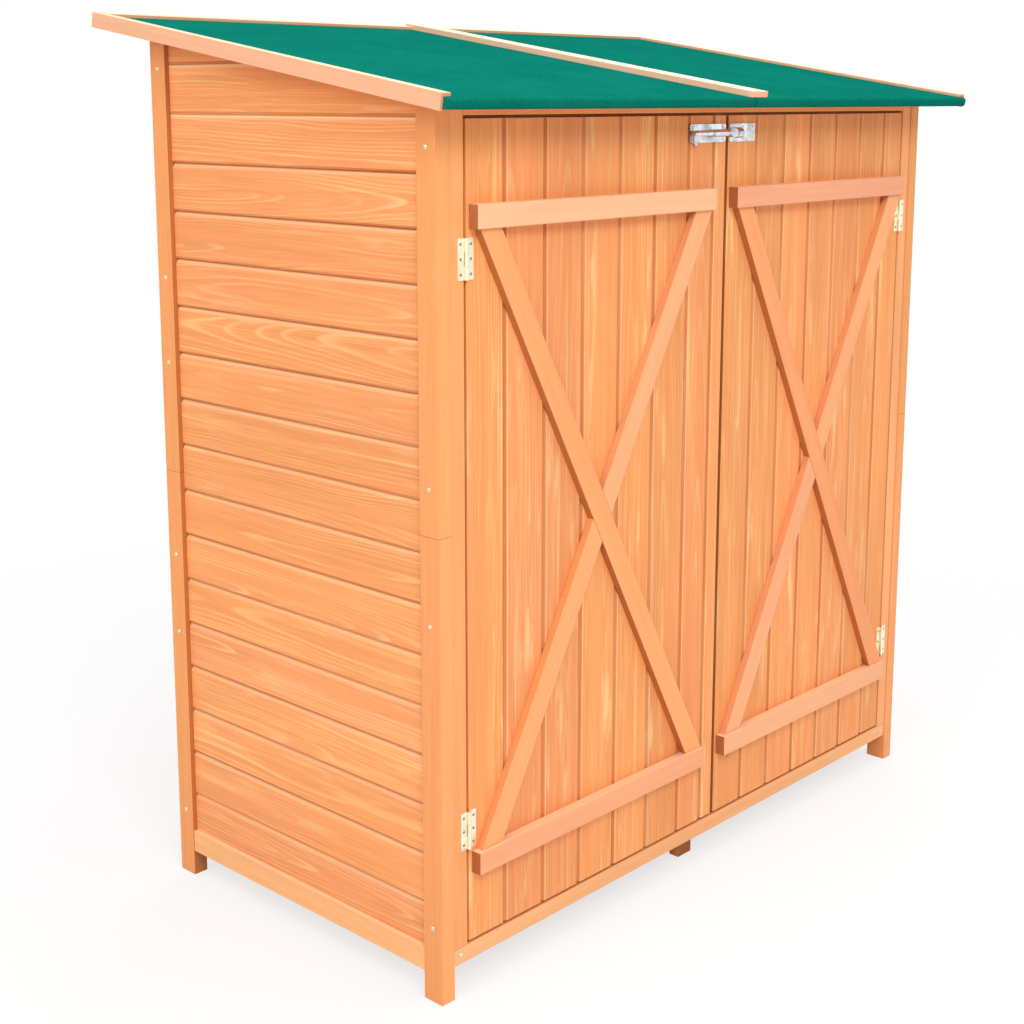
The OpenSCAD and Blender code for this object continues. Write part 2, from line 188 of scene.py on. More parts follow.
# Where the pith of the tree lies behind a board, in metres: its depth and how that differs from
# board to board, swells and leans along a board, and how far the pith lies to the side
PITH_DEPTH = 0.020
PITH_DEPTH_RANGE = 0.03
PITH_SWELL = 0.03
PITH_LEAN = 0.10
PITH_ASIDE = 0.07
LEAST_DEPTH = 0.005
# How far the rings waver, in metres, and by how many rings their widths differ
RING_WAVER = 0.007
RING_UNEVENNESS = 2.4
# How far one board's figure lies from the next in the noise
SEED_STEP = 17.0
# Share of the knots' cells that stay without a knot
KNOTLESS = 0.62


def fir_figure_effect():
    """Rings, fibres, knots and patches of a board, with X along its grain, zero in its middle."""
    tree, given, result = effect(
        "fir_figure",
        [("Grain", "Vector", (0, 0, 0)), ("Seed", "Vector", (0, 0, 0)),
         ("Ring Width", "Float", 0.007), ("Wander", "Float", 0.03)],
        [("Rings", "Float"), ("Streak", "Float"), ("Fibre", "Float"), ("Knot", "Float"),
         ("Patch", "Float")])
    grain, seed = parted(tree, given["Grain"]), parted(tree, given["Seed"])
    offset = vec(tree, "SCALE", given["Seed"])
    offset.node.inputs["Scale"].default_value = SEED_STEP
    somewhere = vec(tree, "ADD", given["Grain"], offset)

    def stretched(along, across, detail=2.0, rough=0.5):
        """Noise with so many waves in a metre along and across the grain."""
        waves = vec(tree, "MULTIPLY", somewhere, (along, across, across))
        return noise(tree, waves, detail=detail, rough=rough)

    sway = calc(tree, "ADD", centred(tree, stretched(1.3, 5), given["Wander"]),
                centred(tree, stretched(7, 34), RING_WAVER))
    swell = centred(tree, stretched(1.6, 0, detail=1.0), PITH_SWELL)
    lean = calc(tree, "MULTIPLY_ADD", seed[0], PITH_LEAN, -PITH_LEAN / 2)
    pith = calc(tree, "MULTIPLY_ADD", seed[1], PITH_DEPTH_RANGE, PITH_DEPTH)
    pith = calc(tree, "ADD", calc(tree, "ADD", pith, calc(tree, "MULTIPLY", grain[0], lean)), swell)
    across = calc(tree, "ADD", grain[1], sway)
    across = calc(tree, "ADD", across, centred(tree, seed[2], PITH_ASIDE))
    deep = calc(tree, "MAXIMUM", calc(tree, "ADD", grain[2], pith), LEAST_DEPTH)
    radius = vec(tree, "LENGTH", join(tree, 0.0, across, deep))
    uneven = noise(tree, join(tree, radius, seed[0], seed[1]), scale=55.0, detail=1.0)
    turn = calc(tree, "MULTIPLY_ADD", uneven, RING_UNEVENNESS,
                calc(tree, "DIVIDE", radius, given["Ring Width"]))
    saw = calc(tree, "FRACT", turn)
    crest = calc(tree, "SUBTRACT", spread(tree, saw, low=0.5, high=0.84),
                 spread(tree, saw, low=0.88, high=1.0), clamp=True)
    year = place(tree, "ShaderNodeTexWhiteNoise", {"W": calc(tree, "FLOOR", turn)},
                 noise_dimensions="1D").outputs[0]
    strength = calc(tree, "MULTIPLY", spread(tree, year, 0.0, 1.0, new_low=0.25),
                    spread(tree, stretched(2.4, 22), low=0.32, high=0.62, new_low=0.15))
    tree.links.new(calc(tree, "MULTIPLY", crest, strength), result["Rings"])

    thread = stretched(2.6, 260)
    flame = stretched(6, 48, detail=4.0, rough=0.55)
    group = stretched(1.2, 18, detail=1.0)
    threads = calc(tree, "MULTIPLY", spread(tree, thread, low=0.50, high=0.72),
                   spread(tree, group, low=0.42, high=0.64))
    flames = calc(tree, "MULTIPLY", spread(tree, flame, low=0.53, high=0.70),
                  spread(tree, group, low=0.36, high=0.6))
    tree.links.new(calc(tree, "MAXIMUM", threads, flames), result["Streak"])

    fine = stretched(9, 420, detail=3.0, rough=0.6)
    broad = calc(tree, "MULTIPLY", stretched(2.2, 70), 0.45)
    tree.links.new(calc(tree, "MULTIPLY_ADD", fine, 0.55, broad), result["Fibre"])

    cells = place(tree, "ShaderNodeTexVoronoi", {
        "Vector": vec(tree, "MULTIPLY", somewhere, (1, 1.6, 1.6)), "Scale": 2.6,
        "Randomness": 1.0}).outputs
    pick = place(tree, "ShaderNodeSeparateColor", {0: cells["Color"]}).outputs[0]
    rare = calc(tree, "GREATER_THAN", pick, KNOTLESS)
    knot = spread(tree, cells["Distance"], 0.018, 0.050, new_low=1.0, new_high=0.0)
    tree.links.new(calc(tree, "MULTIPLY", knot, rare), result["Knot"])
    tree.links.new(stretched(1.4, 7), result["Patch"])
    return tree


def board_rim_effect():
    """Bands along a board's rims: one with a firm border at the low rim, a soft one at the high."""
    tree, given, result = effect(
        "board_rim",
        [("Grain", "Vector", (0, 0, 0)), ("Rims", "Vector", (1, 1, 0)),
         ("Low Reach", "Float", 0.005), ("High Reach", "Float", 0.005)],
        [("Rim", "Float")])
    across = parted(tree, given["Grain"])[1]
    rims = parted(tree, given["Rims"])
    low = calc(tree, "DIVIDE", calc(tree, "ADD", rims[0], across), given["Low Reach"])
    high = calc(tree, "DIVIDE", calc(tree, "SUBTRACT", rims[1], across), given["High Reach"])
    firm = spread(tree, low, 0.7, 1.0, new_low=1.0, new_high=0.0)
    soft = spread(tree, high, 0.0, 1.0, new_low=1.0, new_high=0.0)
    tree.links.new(calc(tree, "MAXIMUM", firm, soft), result["Rim"])
    return tree


FIR_FIGURE = fir_figure_effect()
BOARD_RIM = board_rim_effect()


# Materials

def material(name):
    made = bpy.data.materials.new(name)
    made.use_nodes = True
    tree = made.node_tree
    return made, tree, tree.nodes["Principled BSDF"]


def attribute(tree, name):
    return place(tree, "ShaderNodeAttribute", attribute_name=name).outputs


# Brown of cut ends, also used as painted shade on narrow faces and faces that look the shaded way
END_GRAIN_AND_SHADE_BROWN = srgb(156, 84, 30)
KNOT_BROWN = srgb(176, 92, 38)
# Brown of the joints: stain in the joint with painted shade of the groove's flank
JOINT_STAIN_AND_SHADE_BROWN = srgb(172, 84, 20)
# Painted highlight along a board's rim, where its eased edge would catch the light
RIM_HIGHLIGHT_PALE = srgb(255, 216, 164)
# Painted highlight on faces that look up, standing in for light from above
TOP_HIGHLIGHT_PALE = srgb(255, 230, 190)
# How strongly knots, cut ends and painted shade on faces take their colours, and how much of the
# lines ends show
KNOT_STRENGTH = 0.5
END_GRAIN_AND_SHADE_STRENGTH = 0.88
END_LINES = 0.3
# Share of the tint by which light fibres are lighter
LIGHT_FIBRES = 0.55


def fir(name, early, late, end_grain_and_shade=END_GRAIN_AND_SHADE_BROWN, ring_width=0.006, wander=0.03, ring_depth=0.55,
        streak_depth=0.3, dark=(0.0015, 0.0015, 0.25), pale=(0.001, 0.001, 0.0), tint=0.08,
        roughness=0.58):
    """Stained fir: early wood takes the stain, late wood stays pale and cut ends go dark. Joints
    take stain with painted shade, rims a painted highlight, and faces that look up a painted
    highlight.

    dark and pale give the reach of a band at the low and the high rim of each board, in metres,
    and its strength: dark for the joint stain with painted shade, pale for the painted highlight.
    Narrow faces and faces that look the shaded way take painted shade in the colour of cut ends.
    """
    made, tree, shader = material(name)
    grain = attribute(tree, "grain")["Vector"]
    rims = attribute(tree, "rims")["Vector"]
    figure = place(tree, "ShaderNodeGroup", {
        "Grain": grain, "Seed": attribute(tree, "seed")["Vector"], "Ring Width": ring_width,
        "Wander": wander}, node_tree=FIR_FIGURE).outputs
    fibre, patch = figure["Fibre"], figure["Patch"]

    def rim(low, high):
        return place(tree, "ShaderNodeGroup", {
            "Grain": grain, "Rims": rims, "Low Reach": low, "High Reach": high},
            node_tree=BOARD_RIM).outputs["Rim"]

    lines = calc(tree, "MAXIMUM", calc(tree, "MULTIPLY", figure["Rings"], ring_depth),
                 calc(tree, "MULTIPLY", figure["Streak"], streak_depth))
    colour = blend(tree, lines, early, late)
    depth = spread(tree, fibre, 0.38, 0.68, 1.0 - tint, 1.0 + tint * LIGHT_FIBRES)
    cloud = spread(tree, patch, 0.3, 0.7, new_low=0.94, new_high=1.05)
    colour = shaded_by(tree, colour, calc(tree, "MULTIPLY", depth, cloud))
    colour = blend(tree, 1.0, colour, attribute(tree, "tone")["Vector"], "MULTIPLY")
    colour = tinged(tree, colour, KNOT_BROWN, figure["Knot"], KNOT_STRENGTH)
    *dark_reach, dark_strength = dark
    *pale_reach, pale_strength = pale
    # Bands at the rims: joint stain with painted shade, and a painted highlight where an eased edge
    # would catch the light
    joint = calc(tree, "MULTIPLY", rim(*dark_reach), spread(tree, patch, 0.32, 0.62, new_low=0.6))
    light = calc(tree, "MULTIPLY", rim(*pale_reach), calc(tree, "SUBTRACT", 1.0, joint))
    colour = tinged(tree, colour, RIM_HIGHLIGHT_PALE, light, pale_strength)
    colour = tinged(tree, colour, JOINT_STAIN_AND_SHADE_BROWN, joint, dark_strength)
    # Cut ends take their darker stain; narrow faces and faces that look the shaded way take the
    # same brown as painted shade
    end_grain_and_shade_colour = tinged(tree, end_grain_and_shade, early, lines, END_LINES)
    colour = tinged(tree, colour, end_grain_and_shade_colour, attribute(tree, "end_grain_and_shade")["Fac"], END_GRAIN_AND_SHADE_STRENGTH)
    # Painted highlight on faces that look up
    colour = blend(tree, attribute(tree, "top_highlight")["Fac"], colour, TOP_HIGHLIGHT_PALE)
    tree.links.new(colour, shader.inputs["Base Color"])
    gloss = spread(tree, fibre, 0.3, 0.7, roughness + 0.08, roughness - 0.06)
    tree.links.new(gloss, shader.inputs["Roughness"])
    bumped(tree, shader, weighed(tree, lines, 0.35, fibre, 0.65), strength=0.35, distance=0.0008)
    shader.inputs["Specular IOR Level"].default_value = 0.3
    return made


DOOR_FIR = fir("door_fir", srgb(246, 157, 94), srgb(255, 210, 146), ring_width=0.0062,
               wander=0.05, ring_depth=0.36, streak_depth=0.75, dark=(0.0054, 0.0070, 0.56),
               pale=(0.0085, 0.0005, 0.40))
WALL_FIR = fir("wall_fir", srgb(244, 155, 94), srgb(255, 196, 132), ring_width=0.0055,
               wander=0.05, ring_depth=0.75, streak_depth=0.45, dark=(0.0050, 0.0030, 0.70),
               pale=(0.0005, 0.011, 0.72), tint=0.11)
POST_FIR = fir("post_fir", srgb(249, 166, 102), srgb(255, 186, 124), ring_depth=0.3, tint=0.06)
BRACE_FIR = fir("brace_fir", srgb(249, 168, 110), srgb(253, 182, 126), ring_depth=0.35, tint=0.05)
LEDGE_FIR = fir("ledge_fir", srgb(249, 176, 128), srgb(253, 188, 142), ring_depth=0.35, tint=0.05)
TRIM_FIR = fir("trim_fir", srgb(250, 190, 150), srgb(255, 206, 168), end_grain_and_shade=srgb(226, 150, 108),
               ring_depth=0.4, tint=0.06)
BATTEN_FIR = fir("batten_fir", srgb(255, 208, 174), srgb(255, 220, 190), end_grain_and_shade=srgb(240, 176, 136),
                 ring_depth=0.4, tint=0.06)
ROUGH_FIR = fir("rough_fir", srgb(230, 156, 98), srgb(246, 188, 130), end_grain_and_shade=srgb(150, 84, 40),
                ring_width=0.009, wander=0.05, ring_depth=0.6, streak_depth=0.2,
                dark=(0.003, 0.003, 0.4), tint=0.16, roughness=0.75)


def felt():
    """Bitumen felt with green mineral granules."""
    made, tree, shader = material("green_felt")
    here = place(tree, "ShaderNodeTexCoord").outputs["Object"]
    grit = place(tree, "ShaderNodeTexVoronoi", {"Vector": here, "Scale": 620.0}).outputs
    grain = noise(tree, here, scale=900.0)
    cloud = noise(tree, here, scale=7.0, detail=4.0, rough=0.6)
    colour = blend(tree, spread(tree, grain, 0.25, 0.75), srgb(4, 100, 86), srgb(14, 122, 106))
    tone = place(tree, "ShaderNodeSeparateColor", {0: grit["Color"]}).outputs[0]
    light_grit = calc(tree, "GREATER_THAN", tone, 0.92)
    dark_grit = calc(tree, "LESS_THAN", tone, 0.08)
    colour = tinged(tree, colour, srgb(60, 150, 132), light_grit, strength=0.2)
    colour = tinged(tree, colour, srgb(2, 72, 62), dark_grit, strength=0.3)
    colour = shaded_by(tree, colour, spread(tree, cloud, 0.3, 0.7, new_low=0.92, new_high=1.06))
    tree.links.new(colour, shader.inputs["Base Color"])
    gloss = spread(tree, grain, 0.3, 0.7, new_low=0.82, new_high=0.95)
    tree.links.new(gloss, shader.inputs["Roughness"])
    height = calc(tree, "SUBTRACT", grain, calc(tree, "MULTIPLY", grit["Distance"], 0.8))
    bumped(tree, shader, height, strength=0.45, distance=0.0007)
    shader.inputs["Specular IOR Level"].default_value = 0.0
    return made


# Waves of the scratches and of the cloudy patches in a metre
SCRATCHES = (120, 900, 900)
PLATE_CLOUDS = 60.0
SCREW_CLOUDS = 300.0


def metal(name, bright, dull, roughness, clouds):
    """Plated steel with faint cloudy patches and fine scratches."""
    made, tree, shader = material(name)
    here = place(tree, "ShaderNodeTexCoord").outputs["Object"]
    cloud = noise(tree, here, scale=clouds, detail=4.0, rough=0.6)
    lines = noise(tree, vec(tree, "MULTIPLY", here, SCRATCHES))
    colour = blend(tree, spread(tree, cloud, 0.35, 0.7), bright, dull)
    tree.links.new(colour, shader.inputs["Base Color"])
    gloss = spread(tree, weighed(tree, cloud, 0.6, lines, 0.4), 0.3, 0.7, roughness - 0.08,
                   roughness + 0.12)
    tree.links.new(gloss, shader.inputs["Roughness"])
    bumped(tree, shader, lines, strength=0.15, distance=0.0003)
    shader.inputs["Metallic"].default_value = 1.0
    return made


GREEN_FELT = felt()
BRASSED = metal("brassed_steel", srgb(255, 250, 226), srgb(248, 240, 208), roughness=0.36,
                clouds=PLATE_CLOUDS)
ZINC = metal("zinc_plate", srgb(240, 242, 246), srgb(186, 189, 196), roughness=0.22,
             clouds=PLATE_CLOUDS)
HINGE_SCREW = metal("hinge_screw", srgb(176, 172, 140), srgb(128, 126, 100), roughness=0.4,
                    clouds=SCREW_CLOUDS)
SCREW_ZINC = metal("screw_zinc", srgb(236, 224, 190), srgb(204, 188, 150), roughness=0.36,
                   clouds=SCREW_CLOUDS)


# Boards

SAME_POINT = 1e-6
CUT_TOLERANCE = 1e-7
FLAT = math.radians(1)
SHARP = math.radians(25)
EDGE_SEGMENTS = 2
# The hair that parts two boards of a panel
JOINT_GAP = 0.02 * MM
# How far an eased edge reaches on grooved boards, roof trims and other timber
BOARD_EDGE = 0.5 * MM
TRIM_EDGE = 0.8 * MM
TIMBER_EDGE = 1.0 * MM
# A panel's outermost rims have no joint, so their bands lie this far off
NO_RIM = 1.0
# How squarely a face looks along the grain or up, and below what a face is a narrow one
SQUARE_ON = 0.85
LOOKS_UP = 0.6
NARROW = 0.5
# How dark the painted shade is on faces that look the shaded way
SHADED = 0.85


def only(kind, geometry):
    return [g for g in geometry if isinstance(g, kind)]


def clean_copy(node):
    """A merged copy of a node's mesh with its flat faces joined up."""
    solid = bmesh.new()
    solid.from_mesh(frame["nodes"][node].data)
    bmesh.ops.remove_doubles(solid, verts=solid.verts, dist=SAME_POINT)
    bmesh.ops.dissolve_limit(solid, angle_limit=FLAT, verts=solid.verts, edges=solid.edges)
    return solid


def sliced(solid, axis, low, high):
    """The part of a closed solid between two places along an axis, closed again at the cuts."""
    board = solid.copy()
    for spot, way in ((low, -1), (high, 1)):
        if spot is None:
            continue
        geometry = board.verts[:] + board.edges[:] + board.faces[:]
        cut = bmesh.ops.bisect_plane(board, geom=geometry, dist=CUT_TOLERANCE, plane_co=axis * spot,
                                     plane_no=axis * way, clear_outer=True)
        rim = only(bmesh.types.BMEdge, cut["geom_cut"])
        if rim:
            bmesh.ops.edgeloop_fill(board, edges=rim)
    return board


def boards_of(solid, axis, joints):
    """A panel cut into boards at its joints, a hair apart."""
    spots = [None, *joints, None]
    for low, high in zip(spots, spots[1:]):
        board = sliced(solid, axis, low and low + JOINT_GAP / 2, high and high - JOINT_GAP / 2)
        if board.faces:
            yield board


def loose_parts(solid):
    """Each separate solid of a mesh."""
    solid.verts.index_update()
    done = set()
    for first in solid.verts:
        if first.index in done:
            continue
        part, front = {first.index}, [first]
        while front:
            for edge in front.pop().link_edges:
                for v in edge.verts:
                    if v.index not in part:
                        part.add(v.index)
                        front.append(v)
        done |= part
        single = solid.copy()
        others = [v for v in single.verts if v.index not in part]
        bmesh.ops.delete(single, geom=others, context="VERTS")
        yield single


def ease(solid, width):
    """Rounds the sharp edges of a solid a little."""
    sharp = [e for e in solid.edges if e.is_manifold and e.calc_face_angle() > SHARP]
    bmesh.ops.bevel(solid, geom=sharp, offset=width, offset_type="OFFSET", segments=EDGE_SEGMENTS,
                    profile=0.5, affect="EDGES", material=-1, clamp_overlap=True)


def shown(name, mesh, finish, body):
    """A new piece that rides on a body."""
    mesh.materials.append(finish)
    piece = bpy.data.objects.new(name, mesh)
    bpy.context.scene.collection.objects.link(piece)
    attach(piece, body)
    return piece


def stain():
    """A board's own tone: a little pink or yellow, a little light or dark."""
    warm, shade = dice.random(), dice.uniform(0.95, 1.03)
    return Vector((1.0, 0.98 + 0.04 * warm, 1.02 - 0.05 * warm)) * shade


def eased_mesh(name, boards, width):
    """One flat-shaded mesh of boards with eased edges, and each board's stretch of its points."""
    whole = bmesh.new()
    stretches = []
    for board in boards:
        bmesh.ops.recalc_face_normals(board, faces=board.faces)
        ease(board, width)
        part = bpy.data.meshes.new("board")
        board.to_mesh(part)
        stretches.append((len(whole.verts), len(part.vertices)))
        whole.from_mesh(part)
        bpy.data.meshes.remove(part)
        board.free()
    mesh = bpy.data.meshes.new(name)
    whole.to_mesh(mesh)
    whole.free()
    if "custom_normal" in mesh.attributes:
        mesh.attributes.remove(mesh.attributes["custom_normal"])
    mesh.shade_flat()
    return mesh, stretches


def mark_boards(mesh, stretches, axes, panel, tones):
    """Gives each point its place in its board's grain, and the board's seed, rims and tone."""
    labels = ("grain", "seed", "rims", "tone")
    for label in labels:
        mesh.attributes.new(label, "FLOAT_VECTOR", "POINT")
    grain, seed, rims, tone = (mesh.attributes[label].data for label in labels)
    last = len(stretches) - 1
    for number, (start, count) in enumerate(stretches):
        points = mesh.vertices[start:start + count]
        places = [Vector([v.co.dot(axis) for axis in axes]) for v in points]
        low = Vector(map(min, zip(*places)))
        high = Vector(map(max, zip(*places)))
        half = (high - low).y / 2
        low_rim = half + (NO_RIM if panel and number == 0 else 0.0)
        high_rim = half + (NO_RIM if panel and number == last else 0.0)
        own = Vector((dice.random(), dice.random(), dice.random()))
        own_tone = Vector(tones[number]) if tones else stain()
        for i, spot in enumerate(places, start):
            grain[i].vector = spot - (low + high) / 2
            seed[i].vector = own
            rims[i].vector = (low_rim, high_rim, 0)
            tone[i].vector = own_tone


def mark_faces(mesh, along, depth, side_shade, ends, shaded, lit_tops):
    """Tells each face how much stain of cut ends and painted shade it takes, and how much painted
    highlight from above.
    """
    for label in ("end_grain_and_shade", "top_highlight"):
        mesh.attributes.new(label, "FLOAT", "FACE")
    end_grain_and_shade, top_highlight = mesh.attributes["end_grain_and_shade"].data, mesh.attributes["top_highlight"].data
    for face in mesh.polygons:
        # Faces that look up get a painted highlight
        top_highlight[face.index].value = lit_tops if face.normal.z > LOOKS_UP else 0.0
        # Cut ends get their stain, faces that look the shaded way and narrow faces get painted
        # shade
        if abs(face.normal.dot(along)) > SQUARE_ON:
            end_grain_and_shade[face.index].value = ends
        elif shaded and face.normal.dot(shaded) > SQUARE_ON:
            end_grain_and_shade[face.index].value = SHADED
        elif abs(face.normal.dot(depth)) < NARROW:
            end_grain_and_shade[face.index].value = side_shade


def wooden(node, finish, along, across, width=TIMBER_EDGE, cut_axis=None, joints=(),
           side_shade=0.0, ends=1.0, shaded=None, lit_tops=0.0, tones=()):
    """Replaces a node by its single boards, each with eased edges and a grain of its own.

    The amounts for narrow faces and cut ends say how dark the narrow faces are with painted shade
    and the cut ends with their stain, shaded is the way that faces with painted shade look, and the
    amount for upper faces says how pale the faces that look up are with a painted highlight. tones
    gives factors on the boards' colours, from the lowest place across the grain to the highest.
    """
    solid = clean_copy(node)
    boards = list(boards_of(solid, cut_axis, joints) if cut_axis else loose_parts(solid))
    solid.free()
    boards.sort(key=lambda b: min(v.co.dot(across) for v in b.verts))
    depth = along.cross(across)
    mesh, stretches = eased_mesh(node + "_fir", boards, width)
    mark_boards(mesh, stretches, (along, across, depth), bool(cut_axis), tones)
    mark_faces(mesh, along, depth, side_shade, ends, shaded, lit_tops)
    piece = shown(node + "_fir", mesh, finish, frame["nodes"][node]["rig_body"])
    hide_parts(node)


# Painted highlight: how pale the upper faces of trims and ledges are made, standing in for light
# from above
TOP_HIGHLIGHT = 0.35

for side in ("left", "right"):
    # Posts: painted shade on the faces that look towards the wall boards
    for post, inward in (("front_post", Y), ("back_post", -Y)):
        for part in ("lower", "upper"):
            wooden(f"{side}_{post}_{part}", POST_FIR, Z, X, shaded=inward)
    for part in ("lower", "upper"):
        wooden(f"{side}_wall_{part}", WALL_FIR, Y, Z, BOARD_EDGE, Z, WALL_JOINTS)
    wooden(f"{side}_verge_trim", TRIM_FIR, UP_SLOPE, X, TRIM_EDGE, lit_tops=TOP_HIGHLIGHT)
    wooden(f"{side}_roof_deck", ROUGH_FIR, X, UP_SLOPE, BOARD_EDGE, UP_SLOPE, DECK_JOINTS)
for part in ("lower", "upper"):
    wooden(f"back_wall_{part}", WALL_FIR, X, Z, BOARD_EDGE, Z, WALL_JOINTS)
# Side rails: a painted highlight on their upper faces
wooden("side_bottom_rails", POST_FIR, Y, Z, lit_tops=0.5, tones=[(1.0, 1.2, 1.4), (1.0, 1.1, 1.2)])
wooden("back_rails", POST_FIR, X, Z)
wooden("front_stiles", POST_FIR, Z, X, tones=[(1.0, 1.0, 1.0), (1.0, 1.09, 1.25)])
wooden("front_sill", POST_FIR, X, Z, tones=[(1.0, 1.18, 1.45)])
wooden("front_top_rail", POST_FIR, X, Z)
wooden("floor_boards", ROUGH_FIR, X, Y, BOARD_EDGE, Y, FLOOR_JOINTS)
wooden("floor_bearers", ROUGH_FIR, X, Z)
wooden("middle_feet", POST_FIR, Y, X)
wooden("back_trims", TRIM_FIR, X, UP_SLOPE, TRIM_EDGE, lit_tops=TOP_HIGHLIGHT)
wooden("centre_batten", BATTEN_FIR, UP_SLOPE, X, TRIM_EDGE, lit_tops=TOP_HIGHLIGHT)

# Each door's joints, the way its meeting edge looks, and the tones of its timber
DOORS = {
    "left": {"joints": LEFT_DOOR_JOINTS, "meets": X,
             "ledges": [(1, 0.94, 0.94), (1, 1.18, 1.28)],
             "long": [(1, 0.98, 0.90)],
             "short": [(1, 1.14, 1.28), (1, 1.03, 0.97)]},
    "right": {"joints": RIGHT_DOOR_JOINTS, "meets": -X,
              "ledges": [(1, 1.06, 1.08), (1, 0.95, 1.06)],
              "long": [(1, 0.92, 0.92)],
              "short": [(1, 1.05, 1.26), (1, 1.07, 1.16)]}}
# How much wider a long brace's box is than the run of its middle line
BRACE_ENDS = 48 * MM

for side, door in DOORS.items():
    # Door boards: cut ends barely darkened, painted shade on the meeting edge, a painted highlight
    # on faces that look up
    wooden(f"{side}_door_boards", DOOR_FIR, Z, X, BOARD_EDGE, X, door["joints"], ends=0.1,
           shaded=door["meets"], lit_tops=0.7)
    wooden(f"{side}_door_ledges", LEDGE_FIR, X, Z, lit_tops=TOP_HIGHLIGHT, tones=door["ledges"])
    low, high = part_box(f"{side}_door_long_brace")
    fall = Vector((high.x - low.x - BRACE_ENDS, 0, low.z - high.z)).normalized()
    square = fall.cross(Y)
    # The long brace: painted shade on its lower narrow face
    wooden(f"{side}_door_long_brace", BRACE_FIR, fall, square, shaded=-square, tones=door["long"])
    climb = Vector((fall.x, 0, -fall.z))
    # The short braces: a little painted shade on their narrow faces
    wooden(f"{side}_door_short_braces", BRACE_FIR, climb, climb.cross(Y), side_shade=0.2,
           tones=door["short"])

FINISHES = {
    "left_roof_felt": GREEN_FELT, "right_roof_felt": GREEN_FELT,
    "frame_hinge_leaves": BRASSED, "left_door_hinge_leaves": BRASSED,
    "right_door_hinge_leaves": BRASSED,
    "bolt_plate": ZINC, "bolt_rod": ZINC, "bolt_keeper": ZINC}
for node, finish in FINISHES.items():
    mesh = frame["nodes"][node].data
    mesh.materials.clear()
    mesh.materials.append(finish)


# Screws

HEAD_SIDES = 20
# The dome's steps: each one's share of the height, and how far it draws in
HEAD_STEPS = ((0.3, 1.0), (0.4, 0.84), (0.3, 0.62))
# The recess, in shares of the radius: the rim around it, its bounds, half a slot's width
RECESS_RIM = 0.05
RECESS_BOUNDS = 0.5
RECESS_HALF = 0.1
# The recess's depth as a share of the height
RECESS_DEPTH = 0.55
LEVEL = 0.99
POINT_TOLERANCE = 1e-8


def screw_head(radius, height):
    """A domed screw head with a cross recess, its flat underside at zero."""
    head = bmesh.new()
    bmesh.ops.create_circle(head, cap_ends=True, segments=HEAD_SIDES, radius=radius)
    top = head.faces[:]
    for rise, shrink in HEAD_STEPS:
        grown = bmesh.ops.extrude_face_region(head, geom=top)["geom"]
        top = only(bmesh.types.BMFace, grown)
        ring = only(bmesh.types.BMVert, grown)
        bmesh.ops.translate(head, verts=ring, vec=Z * rise * height)
        bmesh.ops.scale(head, verts=ring, vec=(shrink, shrink, 1))
    bmesh.ops.inset_region(head, faces=top, thickness=RECESS_RIM * radius)

    def on_top():
        return [f for f in head.faces
                if f.calc_center_median().z > LEVEL * height and f.normal.z > LEVEL]

    slot = RECESS_HALF * radius
    for axis in (X, Y):
        for way in (-1, 1):
            flat = on_top()
            edges = dict.fromkeys(e for f in flat for e in f.edges)
            points = dict.fromkeys(v for f in flat for v in f.verts)
            bmesh.ops.bisect_plane(head, geom=[*flat, *edges, *points], dist=POINT_TOLERANCE,
                                   plane_co=axis * slot * way, plane_no=axis)
    cross = [f for f in on_top() if min(map(abs, f.calc_center_median().xy)) < slot
             and all(v.co.xy.length < RECESS_BOUNDS * radius for v in f.verts)]
    sunk = bmesh.ops.extrude_face_region(head, geom=cross)["geom"]
    bmesh.ops.translate(head, verts=only(bmesh.types.BMVert, sunk), vec=-Z * RECESS_DEPTH * height)
    bmesh.ops.recalc_face_normals(head, faces=head.faces)
    mesh = bpy.data.meshes.new("screw_head")
    head.to_mesh(mesh)
    head.free()
    return mesh


def screws(name, head, spots, outward, body, finish=SCREW_ZINC):
    """A set of screw heads on one face direction, each turned its own way."""
    whole = bmesh.new()
    lean = Z.rotation_difference(outward).to_matrix().to_4x4()
    for spot in spots:
        start = len(whole.verts)
        whole.from_mesh(head)
        whole.verts.ensure_lookup_table()
        spin = Matrix.Rotation(dice.uniform(0, math.pi / 2), 4, "Z")
        bmesh.ops.transform(whole, matrix=Matrix.Translation(spot) @ lean @ spin,
                            verts=whole.verts[start:])
    mesh = bpy.data.meshes.new(name)
    whole.to_mesh(mesh)
    whole.free()
    shown(name, mesh, finish, body)


def spots_at(xs, y, zs):
    """Places on the front, at millimetres across and up and at metres deep."""
    return [Vector((x * MM, y, z * MM)) for x in xs for z in zs]


POST_SCREW = screw_head(radius=4.4 * MM, height=1.8 * MM)
SMALL_SCREW = screw_head(radius=2.5 * MM, height=1.0 * MM)

# Places of the screws, in millimetres
BACK_POST_SCREWS_Z = (1499, 1135, 982, 625, 477, 126)
BACK_POST_SCREWS_Y = 329.5
FRONT_POST_SCREWS_Z = (1378, 857, 637, 129)
FRONT_POST_SCREWS_Y = -339.5
SILL_SCREWS_X, SILL_SCREWS_Z = (-657, 657), (71,)
FRAME_LEAF_X, DOOR_LEAF_X = 651.5, 629.5
HINGE_SCREWS_Z = [hinge + step for hinge in (285, 1209) for step in (-23, 0, 23)]
PLATE_SCREWS_X, PLATE_SCREWS_Z = (-78, -34, 13), (1377, 1399)
KEEPER_SCREWS_X, KEEPER_SCREWS_Z = (74, 105), (1378, 1398)
LEAF_THICKNESS = 1.6
PLATE_THICKNESS = 1.5

